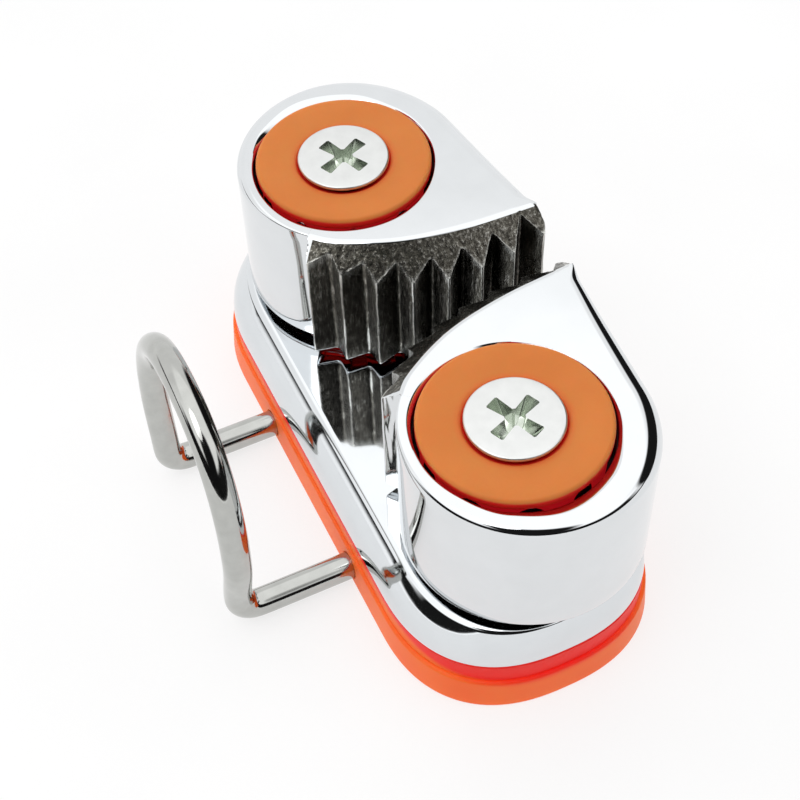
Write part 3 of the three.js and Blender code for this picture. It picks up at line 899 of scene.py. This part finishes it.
def build_screws():
    for side in SIDES:
        node = f"screw_{side}"
        top, bottom, radius = high(node).z, low(node).z, half_width(node)
        rim = top - HEAD_RIM
        cone = rim - (radius - SHANK)
        profile = [(0, bottom), (SHANK - 0.8, bottom), (SHANK, bottom + 0.8), (SHANK, cone), (radius, rim)]
        profile += arc((radius - 0.22, top - 0.22), 0.22, 0, 90, 6)
        profile += [(radius - 1.2, top), (0, top)]
        obj = lathe(f"{side}_screw_body", profile, 128, [SCREW_STEEL[side]])
        cut(obj, [cross_cutter(top)])
        obj.data.materials.append(RECESS_STEEL)
        for face in obj.data.polygons:
            x, y, z = face.center / MM
            if top - 2.5 < z < top - 0.03 and math.hypot(x, y) < 3.0:
                face.material_index = 1
        moved(obj, *(PIVOTS[f"{side}_cam"] / MM))
        dress(shade(obj, 30), "base", "screw_steel", node)


def build_balls():
    """Forty fine balls that share one mesh."""
    mesh = sphere_mesh("bearing_ball", half_width("ball_upper_1_front") * MM)
    mesh.materials.append(SHADED_BALL_STEEL)
    mesh.polygons.foreach_set("use_smooth", [True] * len(mesh.polygons))
    for node in sorted(n for n in frame["nodes"] if n.startswith("ball_")):
        side = node.rsplit("_", 1)[1]
        obj = place(bpy.data.objects.new(f"fine_{node}", mesh))
        lower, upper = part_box(node)
        obj.location = (lower + upper) / 2
        dress(obj, f"{side}_bearing", "ball_steel", node)


def build_upper_cages():
    """The ring that shows below each cap, with the balls looking out of its windows."""
    for side in SIDES:
        node = f"cage_upper_{side}"
        bottom, top = low(node).z, high(node).z
        inner, outer = CAGE_INNER, half_width(node)
        profile = [
            (inner, bottom), (outer - 0.2, bottom), (outer, bottom + 0.2), (outer, top - 0.3),
            *arc((outer - 0.3, top - 0.3), 0.3, 0, 90, 5), (inner + 0.2, top), (inner, top - 0.2),
        ]
        obj = lathe(f"{side}_upper_cage_ring", profile, 160, [BEARING_PLASTIC])
        at_pivot(obj, side)
        pockets = []
        for i in range(BALLS_IN_ROW):
            lower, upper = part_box(f"ball_upper_{i + 1}_{side}")
            mesh = sphere_mesh("pocket", (upper.z - lower.z) / 2 + POCKET_GAP * MM)
            mesh.transform(Matrix.Translation((lower + upper) / 2))
            pockets.append(place(bpy.data.objects.new("pocket", mesh)))
        cut(obj, pockets)
        dress(shade(obj, 35), f"{side}_bearing", "bearing_plastic", node)


def carry_over():
    """Hidden CAD pieces keep their solids and get their materials, the lower cages a darkened copy of the
    bearing plastic as painted shade.
    """
    finishes = {"post": POST_STEEL, "thrust_ring": WASHER_PLASTIC, "spring": SPRING_STEEL,
                "cage_lower": SHADED_PLASTIC}
    for stem, material in finishes.items():
        for side in SIDES:
            obj = frame["nodes"][f"{stem}_{side}"]
            obj.data.materials.clear()
            obj.data.materials.append(material[side] if isinstance(material, dict) else material)
            obj.data.polygons.foreach_set("use_smooth", [True] * len(obj.data.polygons))
            modifier = obj.modifiers.new("even_normals", "WEIGHTED_NORMAL")
            modifier.keep_sharp = True


# ---------------------------------------------------------------- wire fairlead

def fairlead_path():
    """Centre line from one hooked end to the other, lightly smoothed all along."""
    box_low, box_high = low("wire_fairlead"), high("wire_fairlead")
    z = box_low.z + WIRE
    x = box_low.x + WIRE
    top = box_high.z - WIRE
    half = [Vector((HOOK_X, HOOK_END, z))]
    for px, py in arc((HOOK_X - HOOK_BEND, WIRE_LEG_Y + HOOK_BEND), HOOK_BEND, 0, -90, 16):
        half.append(Vector((px, py, z)))
    leg_x = half[-1].x
    for i in range(1, 12):
        half.append(Vector((leg_x + (x + WIRE_BEND - leg_x) * i / 12, WIRE_LEG_Y, z)))
    for px, pz in arc((x + WIRE_BEND, z + WIRE_BEND), WIRE_BEND, 270, 180, 16):
        half.append(Vector((px, WIRE_LEG_Y, pz)))
    riser = half[-1].z

    def leaning(y, height):
        return Vector((x + WIRE_LEAN * (height - riser), y, height))

    for i in range(1, 17):
        y = WIRE_LEG_Y + (WIRE_WAIST_Y - WIRE_LEG_Y) * ease(i / 17)
        half.append(leaning(y, riser + (WIRE_WAIST_Z - riser) * i / 17))
    for i in range(40):
        a = math.pi / 2 * i / 40
        y = WIRE_WAIST_Y * math.cos(a) ** (2 / ARCH_POWER)
        half.append(leaning(y, WIRE_WAIST_Z + (top - WIRE_WAIST_Z) * math.sin(a) ** (2 / ARCH_POWER)))
    path = half + [leaning(0, top)] + [Vector((p.x, -p.y, p.z)) for p in reversed(half)]
    for _ in range(WIRE_SMOOTHING):
        path = [path[0]] + [(a + b * 2 + c) / 4 for a, b, c in zip(path, path[1:], path[2:])] + [path[-1]]
    return path


def even_path(path, step):
    total = lengths(path)
    count = round(total[-1] / step)
    out, k = [], 1
    for i in range(count + 1):
        want = total[-1] * i / count
        while k < len(path) - 1 and total[k] < want:
            k += 1
        out.append(path[k - 1].lerp(path[k], (want - total[k - 1]) / (total[k] - total[k - 1])))
    return out


def build_fairlead():
    path = even_path(fairlead_path(), 0.3)
    sides = 40
    side_axis = Vector((0, 0, 1))
    rings = []
    for i, p in enumerate(path):
        tangent = (path[min(i + 1, len(path) - 1)] - path[max(i - 1, 0)]).normalized()
        side_axis = (side_axis - tangent * side_axis.dot(tangent)).normalized()
        other = tangent.cross(side_axis)
        radius = WIRE - WIRE_END if i in (0, len(path) - 1) else WIRE
        ring = []
        for k in range(sides):
            a = 2 * math.pi * k / sides
            ring.append(p + (side_axis * math.cos(a) + other * math.sin(a)) * radius)
        rings.append(ring)
    obj = stack("fairlead_wire", rings, [WIRE_STEEL])
    dress(shade(obj, 40, weighted=False), "base", "fairlead_wire", "wire_fairlead")


# ---------------------------------------------------------------- studio

VIEW = {"azimuth": -23.589, "elevation": 51.923, "roll": -2.21, "distance": 167.61, "lens": 72.77,
        "aim": 15.0, "right": -2.589, "up": -3.174}
FLOOR_RADIUS = 3000
BACKDROP_RADIUS = 2900
BACKDROP_HEIGHT = 1800
CAMERA_SIDE = -113.6                # azimuth of the side the photograph was taken from, in degrees
SKY_STRENGTH = 1.36
DARKEST = 0.008


def build_camera():
    az, el, roll = (math.radians(VIEW[k]) for k in ("azimuth", "elevation", "roll"))
    back = Vector((math.sin(az) * math.cos(el), -math.cos(az) * math.cos(el), math.sin(el)))
    level = Vector((math.cos(az), math.sin(az), 0))
    rise = back.cross(level)
    right = level * math.cos(roll) + rise * math.sin(roll)
    up = rise * math.cos(roll) - level * math.sin(roll)
    spot = Vector((0, 0, VIEW["aim"])) + back * VIEW["distance"] + right * VIEW["right"] + up * VIEW["up"]
    data = bpy.data.cameras.new("camera")
    data.lens = VIEW["lens"]
    data.clip_start = 0.01
    camera = bpy.data.objects.new("camera", data)
    camera.matrix_world = Matrix.Translation(spot * MM) @ Matrix((right, up, back)).transposed().to_4x4()
    bpy.context.scene.camera = place(camera)


def round_sheet(name, section, material):
    """A sheet turned about Z from (radius, height) points."""
    columns = []
    for i in range(96):
        a = 2 * math.pi * i / 96
        columns.append([Vector((r * math.cos(a), r * math.sin(a), z)) for r, z in section])
    return grid(name, columns, [material], closed=False)


def build_floor():
    g = Graph("floor_paper")
    mottle = g.noise(30, detail=3)
    g.shader_inputs(Base_Color=g.ramp(mottle, [(0.3, 0.24), (0.7, 0.26)]), Roughness=0.9)
    g.shader_inputs(Emission_Color=(1, 1, 1, 1), Emission_Strength=0.74, Specular_IOR_Level=0.2)
    g.bump([(g.noise(0.6, detail=2), 0.01)])
    floor = round_sheet("floor", [(0, 0), (150, 0), (600, 0), (FLOOR_RADIUS, 0)], g.material)


def build_backdrop():
    """A pale wall round the floor, seen directly but left out of the reflections and the light."""
    g = Graph("backdrop_paper")
    mottle = g.noise(60, detail=2)
    g.shader_inputs(Base_Color=g.ramp(mottle, [(0.3, 0.02), (0.7, 0.03)]), Roughness=0.9)
    g.shader_inputs(Emission_Color=(1, 1, 1, 1), Emission_Strength=1.0, Specular_IOR_Level=0.0)
    wall = round_sheet("backdrop", [(BACKDROP_RADIUS, -1), (BACKDROP_RADIUS, BACKDROP_HEIGHT)], g.material)
    wall.visible_glossy = wall.visible_diffuse = wall.visible_transmission = wall.visible_shadow = False


def build_world():
    """A pale dome with a studio's dark areas, all fixed in space.

    A broad strip and a patch are on the side the photograph was taken from, a thin strip runs on round the
    sides, and a mass is to the right.
    """
    world = bpy.data.worlds.new("studio")
    bpy.context.scene.world = world
    world.use_nodes = True
    tree = world.node_tree
    nodes, links = tree.nodes, tree.links
    sky = nodes["Background"]
    direction = nodes.new("ShaderNodeTexCoord").outputs["Generated"]
    split = nodes.new("ShaderNodeSeparateXYZ")
    links.new(direction, split.inputs[0])
    height = split.outputs["Z"]

    def ramp(value, stops):
        made = nodes.new("ShaderNodeValToRGB")
        links.new(value, made.inputs["Fac"])
        elements = made.color_ramp.elements
        while len(elements) < len(stops):
            elements.new(0.5)
        for element, (position, grey) in zip(elements, stops):
            element.position = position
            element.color = (grey, grey, grey, 1)
        return made.outputs["Color"]

    def facing(azimuth, elevation):
        dot = nodes.new("ShaderNodeVectorMath")
        dot.operation = "DOT_PRODUCT"
        links.new(direction, dot.inputs[0])
        level = math.cos(math.radians(elevation))
        x, y = polar(level, azimuth)
        dot.inputs[1].default_value = (x, y, math.sin(math.radians(elevation)))
        return dot.outputs["Value"]

    def halved(value):
        made = nodes.new("ShaderNodeMath")
        made.operation = "MULTIPLY_ADD"
        links.new(value, made.inputs[0])
        made.inputs[1].default_value = 0.5
        made.inputs[2].default_value = 0.5
        return made.outputs[0]

    def blend(share, a, b):
        made = nodes.new("ShaderNodeMix")
        made.data_type = "RGBA"
        for name, value in (("Factor", share), ("A", a), ("B", b)):
            if isinstance(value, float):
                made.inputs[name].default_value = value if name == "Factor" else (value, value, value, 1)
            else:
                links.new(value, made.inputs[name])
        return made.outputs["Result"]

    towards = halved(facing(CAMERA_SIDE, 0))
    bright = blend(ramp(towards, [(0.35, 0.0), (0.55, 1.0)]),
                   ramp(height, [(0.0, 0.78), (0.6, 0.76), (0.7, 0.78), (0.76, 1.0)]), 1.0)
    strip = ramp(height, [(0.015, 0.0), (0.03, 1.0), (0.42, 1.0), (0.5, 0.0)])
    studio_end = ramp(facing(CAMERA_SIDE, 42), [(0.86, 0.0), (0.92, 1.0)])
    thin_strip = ramp(height, [(0.035, 0.0), (0.055, 1.0), (0.15, 1.0), (0.18, 0.0)])
    side_strip = blend(ramp(towards, [(0.2, 0.0), (0.32, 1.0)]), 0.0, thin_strip)
    strips = blend(ramp(towards, [(0.47, 0.0), (0.62, 1.0)]), side_strip, strip)
    mass = ramp(facing(10, 14), [(0.83, 0.0), (0.87, 1.0)])
    dark = blend(studio_end, blend(mass, strips, 1.0), 1.0)
    links.new(blend(dark, bright, DARKEST), sky.inputs["Color"])
    sky.inputs["Strength"].default_value = SKY_STRENGTH


def area_light(name, spot, aim, size, watts):
    data = bpy.data.lights.new(name, "AREA")
    data.shape = "DISK"
    data.size = size
    data.energy = watts
    light = bpy.data.objects.new(name, data)
    turn = (Vector(aim) - Vector(spot)).to_track_quat("-Z", "Y")
    light.matrix_world = Matrix.Translation(Vector(spot)) @ turn.to_matrix().to_4x4()
    place(light)


build_plate()
build_chassis()
build_cover()
build_cams()
build_caps()
build_screws()
build_balls()
build_upper_cages()
build_fairlead()
carry_over()
build_camera()
build_floor()
build_backdrop()
build_world()
area_light("key", (-0.25, -0.1, 0.55), (0, 0, 0.015), 0.35, 0.5)
bpy.context.scene.view_settings.view_transform = "Standard"
